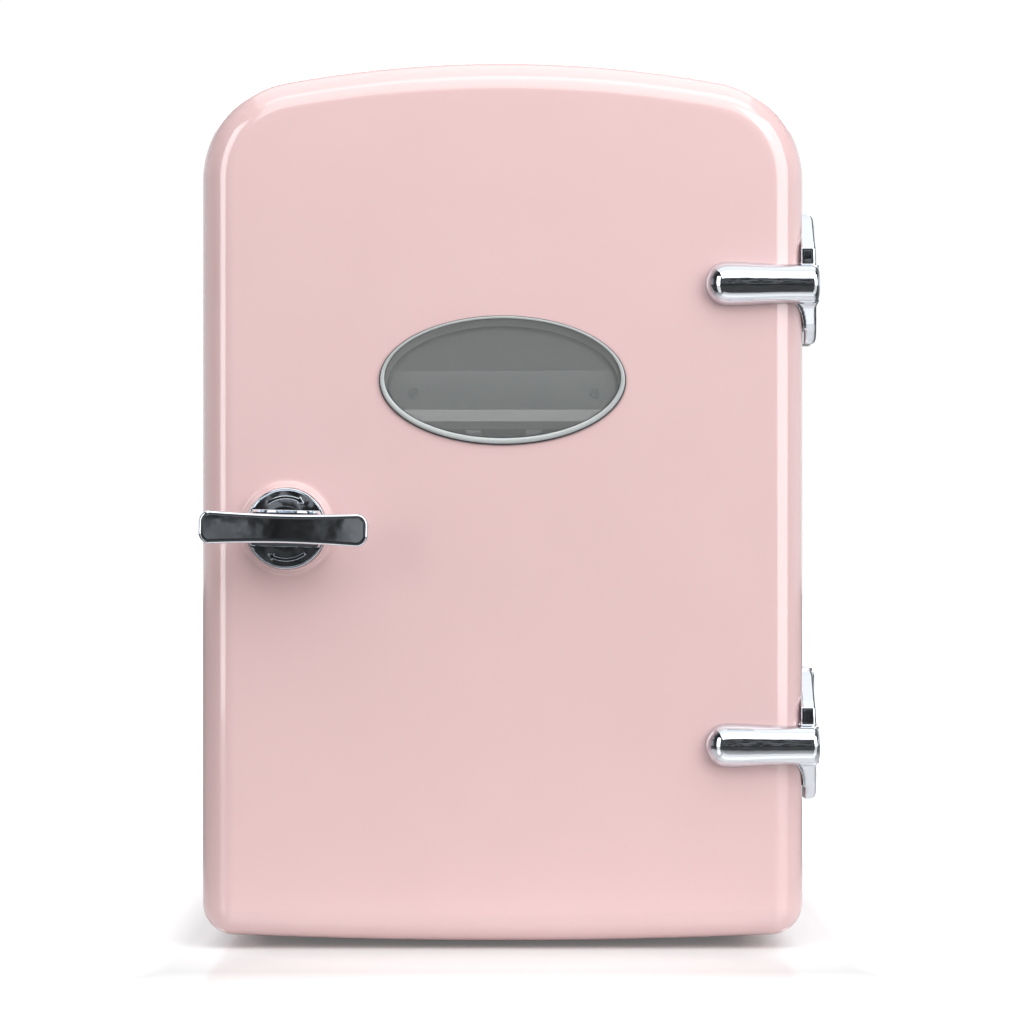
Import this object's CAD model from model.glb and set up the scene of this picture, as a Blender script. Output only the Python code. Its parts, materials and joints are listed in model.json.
"""Looks of the retro countertop mini fridge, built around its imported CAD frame. Lengths are in metres."""

import json
import math

import bmesh
import bpy
from mathutils import Matrix, Vector

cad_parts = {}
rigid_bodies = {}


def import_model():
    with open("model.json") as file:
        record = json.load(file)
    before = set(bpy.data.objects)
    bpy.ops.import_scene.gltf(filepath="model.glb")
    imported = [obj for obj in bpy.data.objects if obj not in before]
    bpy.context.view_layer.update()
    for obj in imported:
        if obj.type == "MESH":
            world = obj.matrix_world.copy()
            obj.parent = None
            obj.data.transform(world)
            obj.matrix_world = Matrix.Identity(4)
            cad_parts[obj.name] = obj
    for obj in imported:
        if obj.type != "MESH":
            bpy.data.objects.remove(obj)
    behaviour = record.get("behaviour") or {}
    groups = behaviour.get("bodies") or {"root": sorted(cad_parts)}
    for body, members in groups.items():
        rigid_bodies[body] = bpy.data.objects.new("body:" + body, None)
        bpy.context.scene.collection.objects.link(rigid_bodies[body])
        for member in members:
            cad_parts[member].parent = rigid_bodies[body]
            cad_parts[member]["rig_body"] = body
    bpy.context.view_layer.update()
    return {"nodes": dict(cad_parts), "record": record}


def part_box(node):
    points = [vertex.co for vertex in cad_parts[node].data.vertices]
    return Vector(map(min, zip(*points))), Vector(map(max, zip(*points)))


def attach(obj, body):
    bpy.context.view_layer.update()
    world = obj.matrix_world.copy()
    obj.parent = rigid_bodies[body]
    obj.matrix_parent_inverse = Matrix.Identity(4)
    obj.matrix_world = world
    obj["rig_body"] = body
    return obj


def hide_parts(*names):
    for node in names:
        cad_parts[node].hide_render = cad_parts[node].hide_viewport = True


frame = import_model()

NODES = frame["nodes"]
MM = 0.001

# ---------- the frame's own places ----------

shell_low, shell_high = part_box("cabinet_shell")
door_low, door_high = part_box("door_shell")
cover_low, cover_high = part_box("back_cover")
disc_low, disc_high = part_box("latch_escutcheon")
bar_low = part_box("latch_handle")[0]
window_low, window_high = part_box("window_frame")

MID_X = (shell_low.x + shell_high.x) / 2
HALF_W = (shell_high.x - shell_low.x) / 2
TOP = door_high.z
BASE = door_low.z
DOOR_BACK = door_high.y
FRAME_PROUD = 1.8 * MM
FACE = window_low.y + FRAME_PROUD
CABINET_FRONT = shell_low.y

LATCH_X = (disc_low.x + disc_high.x) / 2
LATCH_Z = (disc_low.z + disc_high.z) / 2
DISC_R = (disc_high.x - disc_low.x) / 2
DISC_FRONT = disc_low.y
BAR_FRONT = bar_low.y
BAR_T = 7 * MM

WINDOW_A = (window_high.x - window_low.x) / 2
WINDOW_B = (window_high.z - window_low.z) / 2
WINDOW_Z = (window_high.z + window_low.z) / 2

# Radii of the outline and of the rolled edges, and the walls' thickness, as the CAD has them
CROWN_R = 561 * MM
CORNER_R = 46.5 * MM
LOW_CORNER_R = 14.5 * MM
LOW_CROWN_R = 2660 * MM
ROLL_R = 16 * MM
WALL = 2.8 * MM


def body_of(node):
    """Name of the body that carries a CAD node."""
    return NODES[node]["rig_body"]


# ---------- mesh helpers ----------

def mesh_object(name, points, faces):
    """Object in the scene with a mesh of these points and faces."""
    mesh = bpy.data.meshes.new(name)
    mesh.from_pydata([tuple(p) for p in points], [], faces)
    mesh.validate()
    obj = bpy.data.objects.new(name, mesh)
    bpy.context.scene.collection.objects.link(obj)
    return obj


def outward(obj):
    """Makes every face look outwards."""
    bm = bmesh.new()
    bm.from_mesh(obj.data)
    bmesh.ops.recalc_face_normals(bm, faces=bm.faces)
    bm.to_mesh(obj.data)
    bm.free()


def ring_solid(name, rings):
    """Closed solid through rings of points, all of one length."""
    count = len(rings[0])
    points = [p for ring in rings for p in ring]
    faces = [list(range(count))]
    for k in range(len(rings) - 1):
        for i in range(count):
            j = (i + 1) % count
            faces.append([k * count + i, (k + 1) * count + i, (k + 1) * count + j, k * count + j])
    faces.append([(len(rings) - 1) * count + i for i in reversed(range(count))])
    obj = mesh_object(name, points, faces)
    outward(obj)
    return obj


def ring_band(name, rings):
    """Closed band: the last ring joins the first one."""
    count = len(rings[0])
    total = len(rings)
    faces = []
    for k in range(total):
        n = (k + 1) % total
        for i in range(count):
            j = (i + 1) % count
            faces.append([k * count + i, n * count + i, n * count + j, k * count + j])
    obj = mesh_object(name, [p for ring in rings for p in ring], faces)
    outward(obj)
    return obj


def apply_all(obj):
    """Turns the object's modifiers into plain mesh."""
    bpy.context.view_layer.update()
    graph = bpy.context.evaluated_depsgraph_get()
    mesh = bpy.data.meshes.new_from_object(obj.evaluated_get(graph), depsgraph=graph)
    old = obj.data
    obj.modifiers.clear()
    obj.data = mesh
    bpy.data.meshes.remove(old)


def cut(obj, cutter, operation="DIFFERENCE"):
    """Cuts, joins or keeps the common part of two solids, and uses up the second one."""
    change = obj.modifiers.new("cut", "BOOLEAN")
    change.operation = operation
    change.solver = "EXACT"
    change.object = cutter
    apply_all(obj)
    bpy.data.objects.remove(cutter, do_unlink=True)


def smooth(obj, angle):
    """Smooth shading, with edges sharper than the angle kept crisp and flat faces kept flat."""
    obj.data.shade_smooth()
    obj.data.set_sharp_from_angle(angle=math.radians(angle))
    weighted = obj.modifiers.new("weighted", "WEIGHTED_NORMAL")
    weighted.keep_sharp = True
    weighted.weight = 100
    apply_all(obj)


def round_edges(obj, width, segments, angle):
    """Rounds every edge that is sharper than the angle."""
    bevel = obj.modifiers.new("bevel", "BEVEL")
    bevel.width = width
    bevel.segments = segments
    bevel.limit_method = "ANGLE"
    bevel.angle_limit = math.radians(angle)
    bevel.use_clamp_overlap = True
    bevel.harden_normals = False
    bevel.miter_outer = "MITER_ARC"
    apply_all(obj)


def melt(obj, voxel, passes):
    """Fuses a piece's overlapping solids and rounds it all over, as a casting or a moulding is."""
    remesh = obj.modifiers.new("remesh", "REMESH")
    remesh.mode = "VOXEL"
    remesh.voxel_size = voxel
    remesh.adaptivity = 0
    relax = obj.modifiers.new("relax", "SMOOTH")
    relax.factor = 0.5
    relax.iterations = passes
    apply_all(obj)
    obj.data.shade_smooth()


def join(name, pieces):
    """One object from several, each keeping its place."""
    bm = bmesh.new()
    for piece in pieces:
        piece.data.transform(piece.matrix_world)
        bm.from_mesh(piece.data)
        bpy.data.objects.remove(piece, do_unlink=True)
    mesh = bpy.data.meshes.new(name)
    bm.to_mesh(mesh)
    bm.free()
    obj = bpy.data.objects.new(name, mesh)
    bpy.context.scene.collection.objects.link(obj)
    return obj


def finish_piece(obj, slot, body, *nodes):
    """Gives a piece its material and its body, and says which CAD nodes it stands for."""
    obj.data.materials.clear()
    obj.data.materials.append(MATERIALS[slot])
    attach(obj, body)
    if nodes:
        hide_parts(*nodes)
    return obj


# ---------- outlines ----------

def arc(cx, cz, r, start, end, steps):
    """Points of an arc between two angles in degrees."""
    turns = [math.radians(start + (end - start) * i / steps) for i in range(steps + 1)]
    return [(cx + r * math.cos(t), cz + r * math.sin(t)) for t in turns]


def full_turn(steps):
    """Cosines and sines of evenly spaced angles round a circle."""
    turns = [2 * math.pi * i / steps for i in range(steps)]
    return [(math.cos(t), math.sin(t)) for t in turns]


def rolled_edge(r, inset, y, into, steps):
    """Quarter round as (inset, y) points, from the face at y to the wall at inset.

    into is 1 where the wall runs towards +y from the face, and -1 where it runs towards -y.
    """
    turns = [math.pi / 2 * i / steps for i in range(steps + 1)]
    return [(inset + r * (1 - math.sin(t)), y + into * r * (1 - math.cos(t))) for t in turns]


def outline(inset):
    """Front outline of door and cabinet, moved inwards by inset, anticlockwise from the lower right."""
    w, top, low = HALF_W - inset, TOP - inset, BASE + inset
    big, low_big = CROWN_R - inset, LOW_CROWN_R - inset
    r, low_r = max(CORNER_R - inset, 3 * MM), max(LOW_CORNER_R - inset, 2 * MM)
    top_a = math.degrees(math.asin((w - r) / (big - r)))
    low_a = math.degrees(math.asin((w - low_r) / (low_big - low_r)))
    cz = top - big + (big - r) * math.cos(math.radians(top_a))
    low_cz = low + low_big - (low_big - low_r) * math.cos(math.radians(low_a))
    side = [low_cz + (cz - low_cz) * i / 12 for i in range(1, 12)]
    return (
        arc(w - low_r, low_cz, low_r, low_a - 90, 0, 14)
        + [(w, z) for z in side]
        + arc(w - r, cz, r, 0, 90 - top_a, 26)
        + arc(0, top - big, big, 90 - top_a, 90 + top_a, 44)[1:-1]
        + arc(r - w, cz, r, 90 + top_a, 180, 26)
        + [(-w, z) for z in reversed(side)]
        + arc(low_r - w, low_cz, low_r, 180, 270 - low_a, 14)
        + arc(0, low + low_big, low_big, 270 - low_a, 270 + low_a, 24)[1:-1]
    )


def ring(inset, y):
    """The front outline as a ring of points at one depth."""
    return [(MID_X + x, y, z) for x, z in outline(inset)]


def oval(a, b, z, steps=128):
    """Flat (x, z) ellipse about x = 0."""
    return [(a * c, z + b * s) for c, s in full_turn(steps)]


def round_box(x0, x1, z0, z1, r, steps=8):
    """Flat rectangle with rounded corners, anticlockwise."""
    return (arc(x1 - r, z0 + r, r, 270, 360, steps) + arc(x1 - r, z1 - r, r, 0, 90, steps)
            + arc(x0 + r, z1 - r, r, 90, 180, steps) + arc(x0 + r, z0 + r, r, 180, 270, steps))


def slab(name, flat, y0, y1, x=0.0, z=0.0):
    """Prism of a flat (x, z) outline between two depths."""
    return ring_solid(name, [[(x + px, y, z + pz) for px, pz in flat] for y in (y0, y1)])


def lathe(name, profile, x, z, steps=96):
    """Solid of revolution about a line along y, from (radius, y) points that start and end off it."""
    return ring_solid(name, [[(x + r * c, y, z + r * s) for c, s in full_turn(steps)] for r, y in profile])


def offset(flat, inset):
    """Flat anticlockwise outline moved inwards along its own normals."""
    count = len(flat)
    moved = []
    for i, (x, z) in enumerate(flat):
        ax, az = flat[i - 1]
        bx, bz = flat[(i + 1) % count]
        length = math.hypot(bx - ax, bz - az) or 1.0
        moved.append((x - inset * (bz - az) / length, z + inset * (bx - ax) / length))
    return moved


# ---------- materials ----------

def srgb(r, g, b):
    """Linear colour of an 8-bit display colour."""
    return tuple((c / 255 / 12.92) if c <= 10 else ((c / 255 + 0.055) / 1.055) ** 2.4 for c in (r, g, b))


EVEN = (1, 1, 1)
NOISE = "TexNoise"
CELLS = "TexVoronoi"


def add_node(tree, kind, **values):
    """Adds a shader node and sets its inputs. An input's spaces are written as underscores."""
    node = tree.nodes.new("ShaderNode" + kind)
    for socket, value in values.items():
        node.inputs[socket.replace("_", " ")].default_value = value
    return node


def remap(tree, value, start, end, low=0.0, high=1.0):
    """Ramps a value from low, where it is at start, to high at end."""
    span = add_node(tree, "MapRange", From_Min=start, From_Max=end, To_Min=low, To_Max=high)
    tree.links.new(value, span.inputs["Value"])
    return span.outputs["Result"]


def maths(tree, operation, *values):
    """Result of a Math node on these values."""
    node = add_node(tree, "Math")
    node.operation = operation
    for index, value in enumerate(values):
        tree.links.new(value, node.inputs[index])
    return node.outputs["Value"]


def noise(tree, scale, detail=3.0, stretch=EVEN, kind=NOISE):
    """Texture value fixed to the object."""
    coord = add_node(tree, "TexCoord")
    mapping = add_node(tree, "Mapping", Scale=stretch)
    texture = add_node(tree, kind, Scale=scale)
    if "Detail" in texture.inputs:
        texture.inputs["Detail"].default_value = detail
    tree.links.new(coord.outputs["Object"], mapping.inputs["Vector"])
    tree.links.new(mapping.outputs["Vector"], texture.inputs["Vector"])
    return texture.outputs["Distance"] if "Distance" in texture.outputs else texture.outputs["Fac"]


# Most of a noise texture's values lie between these two
NOISE_LOW, NOISE_HIGH = 0.3, 0.7


def spread_colour(tree, value, dark, light, target):
    """Drives a colour input between two colours."""
    ramp = add_node(tree, "ValToRGB")
    for stop, place, colour in zip(ramp.color_ramp.elements, (NOISE_LOW, NOISE_HIGH), (dark, light)):
        stop.position = place
        stop.color = (*colour, 1)
    tree.links.new(value, ramp.inputs["Fac"])
    tree.links.new(ramp.outputs["Color"], target)


def bump(tree, shader, height, distance):
    """Adds one layer of relief, distance metres deep, on top of those already there."""
    node = add_node(tree, "Bump", Strength=1.0, Distance=distance)
    before = shader.inputs["Normal"].links
    if before:
        tree.links.new(before[0].from_socket, node.inputs["Normal"])
    tree.links.new(height, node.inputs["Height"])
    tree.links.new(node.outputs["Normal"], shader.inputs["Normal"])


def surface(name, colour, tone, patch, rough, smudge, grain, **sockets):
    """Material with uneven colour, uneven gloss and relief.

    tone is the colour's spread at the patch scale, and rough the span of roughness at the smudge
    scale. grain holds (scale, depth, stretch, kind) layers of relief, and sockets the plain values.
    """
    material = bpy.data.materials.new(name)
    material.use_nodes = True
    tree = material.node_tree
    shader = tree.nodes["Principled BSDF"]
    dark = tuple(c * (1 - tone) for c in colour)
    light = tuple(min(c * (1 + tone), 1) for c in colour)
    spread_colour(tree, noise(tree, patch), dark, light, shader.inputs["Base Color"])
    gloss = remap(tree, noise(tree, smudge, 4.0), NOISE_LOW, NOISE_HIGH, *rough)
    tree.links.new(gloss, shader.inputs["Roughness"])
    for scale, depth, stretch, kind in grain:
        bump(tree, shader, noise(tree, scale, 2.0, stretch, kind), depth)
    for socket, value in sockets.items():
        shader.inputs[socket.replace("_", " ")].default_value = value
    return material


MATERIALS = {
    "pink_gloss": surface("pink_gloss", srgb(228, 195, 195), 0.012, 14.0, (0.09, 0.14), 60.0,
                          [(260.0, 5e-6, EVEN, NOISE)], Coat_Weight=0.7, Coat_Roughness=0.04),
    "pink_satin": surface("pink_satin", srgb(225, 191, 191), 0.015, 18.0, (0.28, 0.36), 70.0,
                          [(2600.0, 1.6e-5, EVEN, NOISE)]),
    "white_plastic": surface("white_plastic", srgb(226, 227, 225), 0.02, 22.0, (0.3, 0.42), 80.0,
                             [(2200.0, 1.4e-5, EVEN, NOISE)]),
    "foam": surface("foam", srgb(240, 239, 230), 0.04, 300.0, (0.8, 0.95), 300.0,
                    [(330.0, 2.5e-4, EVEN, CELLS), (1800.0, 3e-5, EVEN, NOISE)]),
    "white_rubber": surface("white_rubber", srgb(206, 206, 203), 0.04, 40.0, (0.55, 0.7), 120.0,
                            [(1500.0, 2e-5, EVEN, NOISE)]),
    "black_rubber": surface("black_rubber", srgb(34, 34, 35), 0.15, 60.0, (0.6, 0.8), 150.0,
                            [(1300.0, 4e-5, EVEN, NOISE)]),
    "chrome": surface("chrome", srgb(212, 217, 223), 0.01, 50.0, (0.02, 0.06), 130.0,
                      [(75.0, 2.2e-5, EVEN, NOISE)], Metallic=1.0),
    "steel": surface("steel", srgb(176, 177, 180), 0.05, 160.0, (0.22, 0.36), 500.0,
                     [(1200.0, 8e-6, (1, 8, 1), NOISE)], Metallic=1.0),
    "aluminium": surface("aluminium", srgb(205, 206, 208), 0.04, 90.0, (0.3, 0.42), 400.0,
                         [(700.0, 1.2e-5, (14, 14, 1), NOISE)], Metallic=1.0, Anisotropic=0.4),
    "silver_paint": surface("silver_paint", srgb(196, 201, 201), 0.05, 900.0, (0.3, 0.4), 300.0,
                            [(3200.0, 6e-6, EVEN, CELLS)], Metallic=0.25),
    "clear_pane": surface("clear_pane", srgb(144, 147, 147), 0.03, 12.0, (0.03, 0.07), 40.0,
                          [(60.0, 8e-6, EVEN, NOISE)], Alpha=0.26),
    "black_plastic": surface("black_plastic", srgb(28, 28, 30), 0.12, 50.0, (0.34, 0.46), 120.0,
                             [(1900.0, 2.5e-5, EVEN, NOISE)]),
    "grey_plastic": surface("grey_plastic", srgb(74, 76, 78), 0.08, 40.0, (0.35, 0.5), 120.0,
                            [(1700.0, 2e-5, EVEN, NOISE)]),
    "ceramic_white": surface("ceramic_white", srgb(232, 231, 224), 0.03, 120.0, (0.5, 0.65), 300.0,
                             [(2500.0, 6e-6, EVEN, NOISE)]),
    "board_green": surface("board_green", srgb(30, 92, 58), 0.3, 420.0, (0.3, 0.5), 260.0,
                           [(240.0, 5e-5, (1, 1, 6), CELLS)], Coat_Weight=0.3),
    "wire_jacket": surface("wire_jacket", srgb(168, 60, 48), 0.08, 200.0, (0.4, 0.55), 300.0,
                           [(900.0, 2e-5, EVEN, NOISE)]),
    "lens_blue": surface("lens_blue", srgb(96, 150, 214), 0.05, 500.0, (0.08, 0.14), 300.0,
                         [(1200.0, 4e-6, EVEN, NOISE)], Coat_Weight=0.6, Alpha=0.9),
    "lens_red": surface("lens_red", srgb(204, 52, 44), 0.05, 500.0, (0.08, 0.14), 300.0,
                        [(1200.0, 4e-6, EVEN, NOISE)], Coat_Weight=0.6, Alpha=0.9),
}

SLOT_OF = {part["node"]: part["material_slot"] for part in frame["record"]["subparts"]}
for cad_node, cad_slot in SLOT_OF.items():
    node_mesh = NODES[cad_node].data
    node_mesh.materials.clear()
    node_mesh.materials.append(MATERIALS[cad_slot])


# ---------- pieces that keep the CAD's shape, with rounded edges ----------

def soften(node, width):
    """Stands for a CAD node with the same solid, its edges rounded off."""
    same_point, flat_angle = 2e-6, math.radians(0.6)
    mesh = NODES[node].data.copy()
    bm = bmesh.new()
    bm.from_mesh(mesh)
    bmesh.ops.remove_doubles(bm, verts=bm.verts, dist=same_point)
    bmesh.ops.dissolve_limit(bm, angle_limit=flat_angle, verts=bm.verts, edges=bm.edges)
    bm.to_mesh(mesh)
    bm.free()
    obj = bpy.data.objects.new(node + "_moulded", mesh)
    bpy.context.scene.collection.objects.link(obj)
    round_edges(obj, width, 2, 30)
    smooth(obj, 40)
    return finish_piece(obj, SLOT_OF[node], body_of(node), node)


# ---------- outer shells: insets are from the front outline ----------

def door_skin():
    """Door moulding: flat face, rolled edge, straight sides and a thin wall behind."""
    lip, edge = 0.9 * MM, 1.2 * MM
    profile = rolled_edge(ROLL_R, 0, FACE, 1, 16)
    profile += [(0, DOOR_BACK - edge), (lip * 0.3, DOOR_BACK - edge * 0.3)]
    profile += [(lip, DOOR_BACK), (WALL, DOOR_BACK)]
    profile += reversed(rolled_edge(ROLL_R - WALL, WALL, FACE + WALL, 1, 8))
    skin = ring_solid("door_skin", [ring(inset, y) for inset, y in profile])
    # The window's hole ends under its frame
    hole = oval(WINDOW_A - 0.9 * MM, WINDOW_B - 0.6 * MM, WINDOW_Z)
    cut(skin, slab("hole", hole, FACE - 5 * MM, FACE + 8 * MM, x=MID_X))
    smooth(skin, 30)
    return finish_piece(skin, "pink_gloss", "door", "door_shell")


def latch_boss():
    """Raised collar of the door round the latch, flared into the face."""
    front = DISC_FRONT + 3.2 * MM
    foot_r, neck_r, top_r, core_r = 23.4 * MM, 20.9 * MM, DISC_R + 0.5 * MM, 2 * MM
    sunk, flare, gap = 0.6 * MM, 0.9 * MM, 0.05 * MM
    bed = FACE - (FACE - front) * 0.3
    profile = [(core_r, FACE + sunk), (foot_r, FACE + sunk), (foot_r, FACE)]
    for i in range(1, 8):
        t = i / 8
        profile.append((foot_r - (foot_r - neck_r) * math.sin(t * math.pi / 2),
                        FACE - flare * (1 - math.cos(t * math.pi / 2))))
    profile += [(neck_r - 0.3 * MM, FACE - 1.4 * MM), (top_r + 0.6 * MM, front + 0.45 * MM),
                (top_r + 0.35 * MM, front + 0.12 * MM), (top_r, front),
                (DISC_R + 0.2 * MM, front + 0.05 * MM), (DISC_R + gap, front + 0.3 * MM),
                (DISC_R + gap, bed), (core_r, bed)]
    boss = lathe("latch_boss", profile, LATCH_X, LATCH_Z)
    smooth(boss, 40)
    return finish_piece(boss, "pink_gloss", "door", "door_shell")


def cabinet_skin():
    """Cabinet sleeve, with the cup's opening in its top."""
    lip, back_lip, cup_corner_r = 0.8 * MM, 0.4 * MM, 10 * MM
    back = shell_high.y
    profile = [(lip, CABINET_FRONT), (lip * 0.3, CABINET_FRONT + lip * 0.3), (0, CABINET_FRONT + lip),
               (0, back - back_lip), (back_lip, back), (WALL, back), (WALL, CABINET_FRONT)]
    skin = ring_band("cabinet_skin", [ring(inset, y) for inset, y in profile])
    cup_low, cup_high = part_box("handle_cup")
    flat = round_box(cup_low.x, cup_high.x, cup_low.y, cup_high.y, cup_corner_r)
    hole = ring_solid("hole", [[(x, y, z) for x, y in flat] for z in (cup_low.z + 5 * MM, TOP + 10 * MM)])
    cut(skin, hole)
    smooth(skin, 30)
    return finish_piece(skin, "pink_gloss", "cabinet", "cabinet_shell")


def grille_slots():
    """Flat outlines of the fan grille's slots, in two halves with a bar between them."""
    grille_r, pitch, slot_half, bar_half, corner_r = 47 * MM, 6.2 * MM, 1.6 * MM, 1.5 * MM, 1.5 * MM
    flats = []
    for row in range(-7, 8):
        z = row * pitch
        half = math.sqrt(grille_r ** 2 - z * z)
        for x0, x1 in ((-half, -bar_half), (bar_half, half)):
            flats.append(round_box(x0, x1, z - slot_half, z + slot_half, corner_r, 4))
    return flats


def side_vents():
    """Flat outlines of the upright vents beside the grille."""
    half_w, half_h, corner_r = 1.8 * MM, 17 * MM, 1.7 * MM
    places = [(x * MM, z * MM) for x in (-102, -92, 92, 102) for z in (170, 215, 260)]
    return [round_box(x - half_w, x + half_w, z - half_h, z + half_h, corner_r, 4) for x, z in places]


def panel_openings():
    """Flat outlines of the holes behind the flanges of the sockets and the switch."""
    flange = 2 * MM
    flats = []
    for node, corner in (("ac_inlet", 3), ("dc_inlet", 2), ("switch_bezel", 2)):
        low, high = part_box(node)
        x0, x1, z0, z1 = low.x + flange, high.x - flange, low.z + flange, high.z - flange
        flats.append(round_box(x0, x1, z0, z1, corner * MM, 4))
    return flats


def cover_skin():
    """Back cover with its rolled edge, fan grille, side vents and openings for the panel's parts."""
    edge = cover_high.y - cover_low.y
    profile = rolled_edge(edge, 0, cover_high.y, -1, 12)
    profile += reversed(rolled_edge(edge - WALL, WALL, cover_high.y - WALL, -1, 8))
    skin = ring_solid("cover_skin", [ring(inset, y) for inset, y in profile])
    front, back = cover_high.y - 9 * MM, cover_high.y + 2 * MM
    fan_low, fan_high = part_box("fan_frame")
    fan_z = (fan_low.z + fan_high.z) / 2
    openings = [slab("slot", flat, front, back, MID_X, fan_z) for flat in grille_slots()]
    openings += [slab("vent", flat, front, back, MID_X) for flat in side_vents()]
    openings += [slab("panel", flat, front, back) for flat in panel_openings()]
    cut(skin, join("openings", openings))
    round_edges(skin, 0.45 * MM, 2, 50)
    smooth(skin, 30)
    return finish_piece(skin, "pink_satin", "cabinet", "back_cover")


# ---------- window ----------

def window_pieces():
    """Oval frame, thicker below than above, between a dark seal outside and one round the glass."""
    glass_a, glass_b, glass_z = WINDOW_A - 2.8 * MM, WINDOW_B - 2.6 * MM, WINDOW_Z + 1 * MM
    # Points are (share of the way from the outer oval to the glass, mm behind the door's face)
    profiles = {
        ("window_seal", "grey_plastic"): [(0.0, 0.3), (0.0, -0.5), (0.06, -0.85), (0.22, -0.85), (0.26, -0.4),
                                          (0.26, 0.3)],
        ("window_rim", "silver_paint"): [(0.2, 1.0), (0.2, -0.9), (0.24, -1.45), (0.34, -1.74), (0.46, -1.8),
                                         (0.72, -1.75), (0.84, -1.5), (0.9, -1.05), (0.92, 0.4), (0.92, 1.0)],
        ("window_bead", "black_rubber"): [(0.88, 0.9), (0.88, -0.2), (0.93, -0.35), (1.0, 0.1), (1.0, 0.9)],
    }
    for (name, slot), profile in profiles.items():
        rings = []
        for share, behind in profile:
            a = WINDOW_A + (glass_a - WINDOW_A) * share
            b = WINDOW_B + (glass_b - WINDOW_B) * share
            z = WINDOW_Z + (glass_z - WINDOW_Z) * share
            rings.append([(MID_X + px, FACE + behind * MM, pz) for px, pz in oval(a, b, z, 160)])
        band = ring_band(name, rings)
        smooth(band, 50)
        finish_piece(band, slot, "door", "window_frame")


# ---------- latch ----------

def escutcheon():
    """Chromed disc: thin bright rim, slightly crowned face and two raised arc arrows."""
    back, edge_y = DISC_FRONT + 3.9 * MM, DISC_FRONT + 0.95 * MM
    rim_r, crown, hole_r = 0.5 * MM, 0.35 * MM, 9.6 * MM
    profile = [(hole_r, back), (DISC_R, back), (DISC_R, DISC_FRONT + 1.2 * MM)]
    for i in range(9):
        t = math.pi * i / 8
        profile.append((DISC_R - rim_r + rim_r * math.cos(t), DISC_FRONT + rim_r - rim_r * math.sin(t)))
    face_r = DISC_R - 2 * rim_r - 0.2 * MM
    for i in range(9):
        r = face_r + (hole_r - face_r) * i / 8
        profile.append((r, edge_y - crown * (1 - (r / face_r) ** 2)))
    disc = lathe("latch_disc", profile, LATCH_X, LATCH_Z, 128)
    smooth(disc, 45)
    finish_piece(disc, "chrome", "door", "latch_escutcheon")
    for turn, label in ((0, "upper"), (180, "lower")):
        back, front = edge_y + 0.1 * MM, DISC_FRONT + 0.25 * MM
        arrow = slab("latch_arrow_" + label, arrow_outline(turn), back, front, LATCH_X, LATCH_Z)
        round_edges(arrow, 0.3 * MM, 3, 40)
        smooth(arrow, 60)
        finish_piece(arrow, "chrome", "door", "latch_escutcheon")


def arrow_outline(turn):
    """Arc with a head at its clockwise end, turned about the disc by an angle in degrees."""
    mid, half, head_half = 14.2 * MM, 0.75 * MM, 1.8 * MM
    start, end, head = 127 + turn, 54 + turn, 12

    def polar(r, angle):
        return (r * math.cos(math.radians(angle)), r * math.sin(math.radians(angle)))

    outer = [polar(mid + half, start + (end + head - start) * i / 20) for i in range(21)]
    inner = [polar(mid - half, end + head + (start - end - head) * i / 20) for i in range(21)]
    tip = [polar(mid + head_half, end + head), polar(mid, end), polar(mid - head_half, end + head)]
    return list(reversed(outer + tip + inner))


def bar_outline():
    """Bow-tie bar: tall rounded ends and a waisted middle, anticlockwise."""
    half, end_h, waist_h, tip = 38.0 * MM, 7.5 * MM, 6.5 * MM, 5.2 * MM

    def edge(x):
        share = abs(x) / (half - tip)
        return waist_h + (end_h - waist_h) * min(share, 1) ** 1.8

    steps = 24
    run = [-(half - tip) + 2 * (half - tip) * i / steps for i in range(steps + 1)]
    top = [(x, edge(x)) for x in reversed(run)]
    low = [(x, -edge(x)) for x in run]
    corner_x, corner_z = half - tip, end_h - tip
    right = arc(corner_x, -corner_z, tip, 270, 360, 10)[1:] + arc(corner_x, corner_z, tip, 0, 90, 10)[:-1]
    left = arc(-corner_x, corner_z, tip, 90, 180, 10)[1:] + arc(-corner_x, -corner_z, tip, 180, 270, 10)[:-1]
    return low + right + top + left


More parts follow.
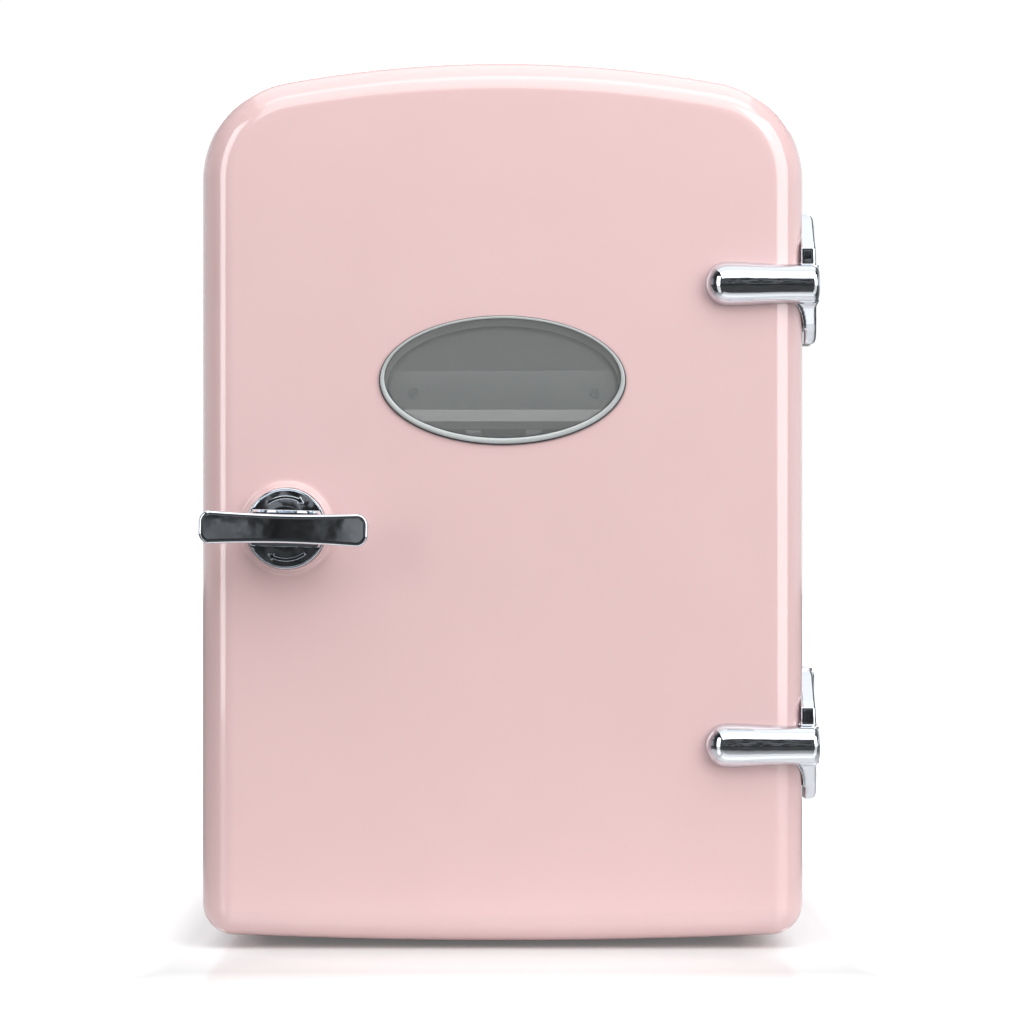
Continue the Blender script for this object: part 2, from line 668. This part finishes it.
def latch_bar():
    """Turning bar with bevelled edges, on a tapered plinth that spans the disc."""
    tilt = Matrix.Rotation(math.radians(1.35), 4, "Y")
    bar_back = BAR_FRONT + BAR_T
    flat = bar_outline()
    # From back to front: mm in from the outline and mm behind the bar's front
    profile = [(1.6, 6.97), (0.9, 6.75), (0.25, 6.0), (0.0, 4.8), (0.0, 1.3), (0.1, 0.8), (0.34, 0.4),
               (0.66, 0.2), (0.95, 0.1), (1.2, 0.05), (1.6, 0.015), (2.2, 0.0)]
    bar = ring_solid("bar", [[(x, BAR_FRONT + behind * MM, z) for x, z in offset(flat, inset * MM)]
                             for inset, behind in profile])
    smooth(bar, 60)
    # Depth, with mm to each side, below and above the shaft there
    foot = DISC_FRONT - 0.45 * MM
    steps = [(foot, 16.0, 8.2, 8.4), (foot - 1.6 * MM, 16.0, 8.2, 8.4), (foot - 1.95 * MM, 15.8, 8.0, 8.05),
             (foot - 3.7 * MM, 15.4, 7.8, 7.2), (foot - 3.9 * MM, 13.4, 6.3, 6.3),
             (bar_back - 1 * MM, 13.2, 6.2, 6.2)]
    rings = []
    for y, half, below, above in steps:
        plan = round_box(-half * MM, half * MM, -below * MM, above * MM, 1.2 * MM)
        rings.append([(x, y, z) for x, z in plan])
    plinth = ring_solid("plinth", rings)
    smooth(plinth, 25)
    bore_r, hub_r = 3.6 * MM, 9 * MM
    front, back = foot + 0.1 * MM, foot + 4.4 * MM
    hub = lathe("hub", [(bore_r, front), (hub_r, front), (hub_r, back), (bore_r, back)], 0, 0, 64)
    smooth(hub, 40)
    for name, obj in (("latch_bar", bar), ("latch_plinth", plinth), ("latch_hub", hub)):
        obj.name = name
        obj.data.transform(Matrix.Translation((LATCH_X, 0, LATCH_Z)) @ tilt)
        finish_piece(obj, "chrome", "latch", "latch_handle")


# ---------- hinges ----------

# Radii of the arm at its corner, its waist and its bulb
STRAP_R = 9.0 * MM
WAIST_R = 8.5 * MM
BULB_R = 10.2 * MM
# How far the arm's axis lies below the middle of the hinge
STRAP_DROP = 3.9 * MM
# How far the arm reaches past the side of the door
ARM_REACH = 6.3 * MM


def straight_arm(x0, x1, y, z):
    """Round bar along x with a bulb at its start and a rounded corner at its end."""
    ahead, corner_r = 20 * MM, 3.2 * MM
    sections = []
    for i in range(9):
        t = math.pi / 2 * (1 - i / 9)
        sections.append((x0 + BULB_R * (1 - math.sin(t)), max(BULB_R * math.cos(t), 0.4 * MM)))
    for i in range(21):
        share = i / 20
        x = x0 + BULB_R + (x1 - corner_r - x0 - BULB_R) * share
        swell = math.exp(-((x - x0 - BULB_R) / ahead) ** 2)
        sections.append((x, WAIST_R + (STRAP_R - WAIST_R) * share + (BULB_R - WAIST_R) * swell))
    for i in range(1, 6):
        t = math.pi / 2 * i / 5
        sections.append((x1 - corner_r * (1 - math.sin(t)), STRAP_R - corner_r * (1 - math.cos(t))))
    return ring_solid("arm", [[(x, y + r * c, z + r * s) for c, s in full_turn(48)] for x, r in sections])


def roll_plan(x0, side, y1, grow):
    """Plan outline of the door's rolled edge, moved out of the door by grow."""
    corner_x, corner_y, r = side - ROLL_R, FACE + ROLL_R, ROLL_R + grow
    bend = [(corner_x + r * math.sin(math.pi / 2 * i / 16), corner_y - r * math.cos(math.pi / 2 * i / 16))
            for i in range(17)]
    return [(x0, FACE - grow)] + bend + [(side + grow, y1), (x0, y1)]


def upright(name, plan, z0, z1):
    """Prism of a plan outline between two heights."""
    return ring_solid(name, [[(x, y, z) for x, y in plan] for z in (z0, z1)])


def hinge_wing(side, mid_z, half_h, front_y, back_y):
    """Tall plate beside the door, whose front leans back towards both of its ends."""
    ahead = FACE + 4 * MM
    chamfer, flare = 1.0 * MM, 1.3 * MM
    # Height over the hinge's middle, mm past the side inside and outside, and share of the lean
    sections = [
        (-half_h, 1.3, 4.9, 1.0), (-half_h + 0.9 * MM, 1.3, 6.3, 0.96),
        (-half_h + 2.6 * MM, 1.3, 6.8, 0.88), (-half_h + 5.6 * MM, 1.2, 6.7, 0.72),
        (-half_h + 8.4 * MM, 0.3, 6.5, 0.55), (-14 * MM, -1.5, 5.9, 0.2),
        (-STRAP_DROP - 8 * MM, -1.5, 5.9, 0), (8 * MM, -1.5, 5.5, 0), (13 * MM, -1.5, 5.3, 0.005),
        (13.8 * MM, -1.5, 5.3, 0.06), (16 * MM, -1.5, 5.3, 0.22),
        (half_h - 3.2 * MM, -1.5, 5.4, 0.86), (half_h - 1.2 * MM, -1.5, 4.7, 0.96), (half_h, -1.5, 2.9, 1.0),
    ]
    rings = []
    for z, inner, outer, lean in sections:
        x0, x1 = side + inner * MM, side + outer * MM
        front = ahead + (front_y - ahead) * lean
        plan = [(x0, front), (x1 - chamfer, front), (x1, front + 0.8 * chamfer),
                (x1 + flare, back_y), (x0, back_y)]
        rings.append([(x, y, mid_z + z) for x, y in plan])
    return ring_solid("wing", rings)


def hinge_strap(level):
    """Cast hinge arm: bulb and bar across the face, turned back past its edge into a wing with knuckles."""
    low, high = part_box("hinge_strap_" + level)
    pin_low, pin_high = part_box("hinge_pin_" + level)
    pin_x, pin_y = (pin_low.x + pin_high.x) / 2, (pin_low.y + pin_high.y) / 2
    mid_z, half_h = (low.z + high.z) / 2, (high.z - low.z) / 2
    strap_z = mid_z - STRAP_DROP
    side = MID_X + HALF_W
    end_x = side + ARM_REACH
    wing_front, elbow_back = FACE + ROLL_R + 6 * MM, pin_y - 6 * MM

    elbow_plan = [(side - 12 * MM, FACE), (end_x, FACE), (end_x + 2.3 * MM, elbow_back),
                  (side - 1.5 * MM, elbow_back), (side - 1.5 * MM, FACE + 12 * MM),
                  (side - 12 * MM, FACE + 1.5 * MM)]
    elbow_h = STRAP_R - 0.4 * MM
    pieces = [
        straight_arm(low.x - 0.2 * MM, end_x, FACE, strap_z),
        upright("elbow", elbow_plan, strap_z - elbow_h, strap_z + elbow_h),
        hinge_wing(side, mid_z, half_h, wing_front, elbow_back + 3 * MM),
        gusset_piece(side, strap_z, wing_front),
    ]
    # Two knuckles, each with a bridge to the wing, leave an opening for the cabinet's leaf
    opening = 10 * MM
    knuckle = arc(pin_x, pin_y, 4.1 * MM, 0, 360, 30)[:-1]
    x0, x1, y0 = side + 0.6 * MM, side + 7.4 * MM, elbow_back - 1 * MM
    bridge = [(x0, y0), (x1, y0), (x1, pin_y), (x0, pin_y)]
    for z0, z1 in ((mid_z - half_h + 9 * MM, mid_z - opening), (mid_z + opening, mid_z + half_h - 3 * MM)):
        pieces.append(upright("knuckle", knuckle, z0, z1))
        pieces.append(upright("bridge", bridge, z0, z1))
    solid = join("hinge_cast_" + level, pieces)
    melt(solid, 0.42 * MM, 9)
    # What lies deeper than the door's skin is cut away
    core = roll_plan(low.x - 20 * MM, side, elbow_back - 3 * MM, -1.4 * MM)
    cut(solid, upright("core", core, low.z, high.z))
    solid.data.shade_smooth()
    return finish_piece(solid, "chrome", "door", "hinge_strap_" + level)


def gusset_piece(side, strap_z, wing_y):
    """Thin concave web over the door's rolled edge, between the arm and its wing."""
    above, below, run, overlap = 7.5 * MM, 12 * MM, 7.0 * MM, 1.2 * MM
    top, low = strap_z + STRAP_R - overlap, strap_z - STRAP_R + overlap
    x1 = side + 4 * MM
    flat = [(x1, low - below), (x1, top + above)]
    for i in range(11):
        t = math.pi / 2 * i / 10
        flat.append((side - run * (1 - math.cos(t)), top + above * (1 - math.sin(t))))
    for i in range(11):
        t = math.pi / 2 * (1 - i / 10)
        flat.append((side - run * (1 - math.cos(t)), low - below * (1 - math.sin(t))))
    web = slab("gusset", flat, FACE - 3 * MM, wing_y + 6 * MM)
    cut(web, upright("over_roll", roll_plan(side - 30 * MM, side, wing_y + 10 * MM, 1.1 * MM),
                     low - 2 * below, top + 2 * above), "INTERSECT")
    return web


# ---------- shelf ----------

def shelf_board():
    """Slotted divider whose front lip stands up and leans back."""
    low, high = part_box("shelf")
    plate_t, lip_run = 3 * MM, 13 * MM
    slot_w, slot_l, slot_pitch, slot_gap, slot_start = 8 * MM, 62 * MM, 30 * MM, 10 * MM, 14.5 * MM
    plate_top, lip = low.z + plate_t, high.z - low.z
    profile = [(low.y, low.z), (low.y + lip_run, low.z), (low.y + lip_run, plate_top),
               (low.y + 8.5 * MM, plate_top), (low.y + 7 * MM, high.z + 0.8 * MM),
               (low.y + 5.6 * MM, high.z + 1.0 * MM), (low.y + 0.8 * MM, low.z + lip * 0.52),
               (low.y, low.z + lip * 0.45)]
    front = ring_solid("lip", [[(x, y, z) for y, z in profile] for x in (low.x, high.x)])
    y0 = low.y + 3 * MM
    corners = [(low.x, y0), (high.x, y0), (high.x, high.y), (low.x, high.y)]
    board = upright("board", corners, low.z, plate_top)
    slots = []
    for column in range(-3, 3):
        x = MID_X + (column + 0.5) * slot_pitch
        for row in range(2):
            y = low.y + slot_start + row * (slot_l + slot_gap)
            flat = round_box(x - slot_w / 2, x + slot_w / 2, y, y + slot_l, slot_w / 2 - 0.01 * MM)
            slots.append(upright("slot", flat, low.z - 2 * MM, low.z + 6 * MM))
    cut(board, join("slots", slots))
    cut(board, front, "UNION")
    board.name = "shelf_board"
    round_edges(board, 0.5 * MM, 2, 25)
    smooth(board, 35)
    return finish_piece(board, "white_plastic", "cabinet", "shelf")


# ---------- carry handle ----------

def carry_grip():
    """Carry handle with moulded, rounded edges."""
    mesh = NODES["carry_handle"].data.copy()
    grip = bpy.data.objects.new("carry_grip", mesh)
    bpy.context.scene.collection.objects.link(grip)
    melt(grip, 0.9 * MM, 6)
    return finish_piece(grip, "pink_satin", "bail", "carry_handle")


# ---------- stage, lights and camera ----------

def stage():
    """White floor with a soft reflection."""
    reach = 6.0
    corners = [(-reach, -reach, 0), (reach, -reach, 0), (reach, reach, 0), (-reach, reach, 0)]
    floor = mesh_object("floor", corners, [[0, 1, 2, 3]])
    material = bpy.data.materials.new("floor")
    material.use_nodes = True
    tree = material.node_tree
    tree.nodes.clear()
    out = add_node(tree, "OutputMaterial")
    diffuse = add_node(tree, "BsdfDiffuse")
    gloss = add_node(tree, "BsdfGlossy", Roughness=0.08)
    blend = add_node(tree, "MixShader", Fac=0.3)
    glow = add_node(tree, "Emission")
    total = add_node(tree, "AddShader")
    path = add_node(tree, "LightPath")
    coord = add_node(tree, "TexCoord")
    axes = add_node(tree, "SeparateXYZ")
    tree.links.new(coord.outputs["Object"], axes.inputs["Vector"])
    distance = add_node(tree, "VectorMath")
    distance.operation = "LENGTH"
    tree.links.new(coord.outputs["Object"], distance.inputs[0])

    # The paint is white near the object and dark farther off
    tree.links.new(remap(tree, distance.outputs["Value"], 0.2, 0.42, 0.9, 0.05), diffuse.inputs["Color"])
    # A glow that lights nothing keeps the floor white in the picture beside, ahead of and behind the object
    aside = remap(tree, maths(tree, "ABSOLUTE", axes.outputs["X"]), 0.15, 0.22, 0.12, 1.0)
    ahead = remap(tree, axes.outputs["Y"], -0.215, -0.33, 0.12, 1.0)
    behind = remap(tree, axes.outputs["Y"], 0.2, 0.32, 0.12, 1.1)
    far = maths(tree, "MAXIMUM", aside, maths(tree, "MAXIMUM", ahead, behind))
    tree.links.new(maths(tree, "MULTIPLY", far, path.outputs["Is Camera Ray"]), glow.inputs["Strength"])
    tree.links.new(diffuse.outputs[0], blend.inputs[1])
    tree.links.new(gloss.outputs[0], blend.inputs[2])
    tree.links.new(blend.outputs[0], total.inputs[0])
    tree.links.new(glow.outputs[0], total.inputs[1])
    tree.links.new(total.outputs[0], out.inputs["Surface"])
    floor.data.materials.append(material)


def softbox(name, place, target, width, height, watts):
    """Rectangular lamp at a place, aimed at a target."""
    data = bpy.data.lights.new(name, "AREA")
    data.shape = "RECTANGLE"
    data.size, data.size_y = width, height
    data.energy = watts
    lamp = bpy.data.objects.new(name, data)
    lamp.location = place
    lamp.rotation_euler = (Vector(target) - Vector(place)).to_track_quat("-Z", "Y").to_euler()
    bpy.context.scene.collection.objects.link(lamp)
    return lamp


def lights():
    """Softboxes on both sides, above and behind, and a small lamp inside the window."""
    middle = (MID_X, FACE, 0.2)
    softbox("left_box", (-1.30, -1.30, 0.60), middle, 0.55, 1.6, 11.0)
    softbox("right_box", (1.15, -1.12, 0.70), middle, 1.05, 1.6, 18.2)
    softbox("top_box", (0.12, -0.80, 1.05), (MID_X, FACE, 0.3), 1.3, 0.75, 6.6)
    softbox("back_box", (0.0, 1.9, 1.6), (0, 0, 0.2), 2.4, 1.2, 22)
    softbox("floor_box", (0.0, -0.2, 2.6), (0, -0.1, 0), 3.0, 3.0, 36)
    place, target = (MID_X, FACE + 0.086, WINDOW_Z + 0.05), (MID_X, FACE + 0.11, WINDOW_Z - 0.05)
    inside = softbox("room_glow", place, target, 0.15, 0.02, 0.05)
    inside.visible_camera = False


def room():
    """Studio room: dark ahead of the object, lighter behind it, and plain white as a backdrop."""
    world = bpy.data.worlds.new("studio")
    bpy.context.scene.world = world
    world.use_nodes = True
    tree = world.node_tree
    tree.nodes.clear()
    out = add_node(tree, "OutputWorld")
    walls = add_node(tree, "Background", Color=(0.92, 0.94, 0.97, 1))
    backdrop = add_node(tree, "Background", Color=(1, 1, 1, 1), Strength=1.02)
    blend = add_node(tree, "MixShader")
    path = add_node(tree, "LightPath")
    coord = add_node(tree, "TexCoord")
    axes = add_node(tree, "SeparateXYZ")
    tree.links.new(coord.outputs["Generated"], axes.inputs["Vector"])

    # Strength over depth, from the camera's side (0) to the far side (1), and weaker overhead
    level = add_node(tree, "ValToRGB")
    stops = ((0.0, 0.02), (0.36, 0.03), (0.5, 0.42), (0.6, 0.85), (0.95, 0.95), (0.972, 1.0))
    for place, _ in stops[1:-1]:
        level.color_ramp.elements.new(place)
    for stop, (place, value) in zip(level.color_ramp.elements, stops):
        stop.position = place
        stop.color = (value, value, value, 1)
    tree.links.new(remap(tree, axes.outputs["Y"], -1.0, 1.0), level.inputs["Fac"])
    overhead = remap(tree, axes.outputs["Z"], 0.2, 0.45, 1.0, 0.25)
    horizon = maths(tree, "MULTIPLY", level.outputs["Color"], overhead)

    # Faint patches ahead of the object, for its chrome to reflect
    texture = add_node(tree, "TexNoise", Scale=36.0, Detail=3.0)
    tree.links.new(coord.outputs["Generated"], texture.inputs["Vector"])
    patches = remap(tree, texture.outputs["Fac"], 0.5, 0.57, 0.0, 0.24)
    near = remap(tree, axes.outputs["Y"], -0.2, -0.6)
    tree.links.new(maths(tree, "MULTIPLY_ADD", patches, near, horizon), walls.inputs["Strength"])
    tree.links.new(path.outputs["Is Camera Ray"], blend.inputs["Fac"])
    tree.links.new(walls.outputs[0], blend.inputs[1])
    tree.links.new(backdrop.outputs[0], blend.inputs[2])
    tree.links.new(blend.outputs[0], out.inputs["Surface"])


def camera():
    """Long lens, level, a little over 1.5 m ahead of the door."""
    distance, height, aside = 1.525, 0.2003, 0.0043
    data = bpy.data.cameras.new("camera")
    data.sensor_width = 36
    data.lens = 117.6
    eye = bpy.data.objects.new("camera", data)
    eye.location = (MID_X + aside, FACE - distance, height)
    eye.rotation_euler = (math.pi / 2, 0, 0)
    bpy.context.scene.collection.objects.link(eye)
    bpy.context.scene.camera = eye
    bpy.context.scene.view_settings.view_transform = "Standard"


camera()
stage()
lights()
room()

door_skin()
latch_boss()
cabinet_skin()
cover_skin()
window_pieces()
escutcheon()
latch_bar()
hinge_strap("lower")
hinge_strap("upper")
carry_grip()
shelf_board()

# Radius in mm of each softened piece's edges
EDGES = {
    "door_liner": 0.8, "door_gasket": 0.5, "window_tunnel": 0.3, "cabinet_liner": 0.5, "handle_cup": 0.6,
    "latch_bushing": 0.3, "latch_cam": 0.3, "latch_keeper": 0.25,
    "hinge_leaf_lower": 0.4, "hinge_leaf_upper": 0.4,
    "foot_front_left": 0.6, "foot_front_right": 0.6, "foot_back_left": 0.6, "foot_back_right": 0.6,
    "cold_plate": 0.4, "fan_frame": 0.4, "switch_bezel": 0.3, "switch_rocker": 0.3,
    "ac_inlet": 0.3, "dc_inlet": 0.3,
}
for cad_node, edge_r in EDGES.items():
    soften(cad_node, edge_r * MM)
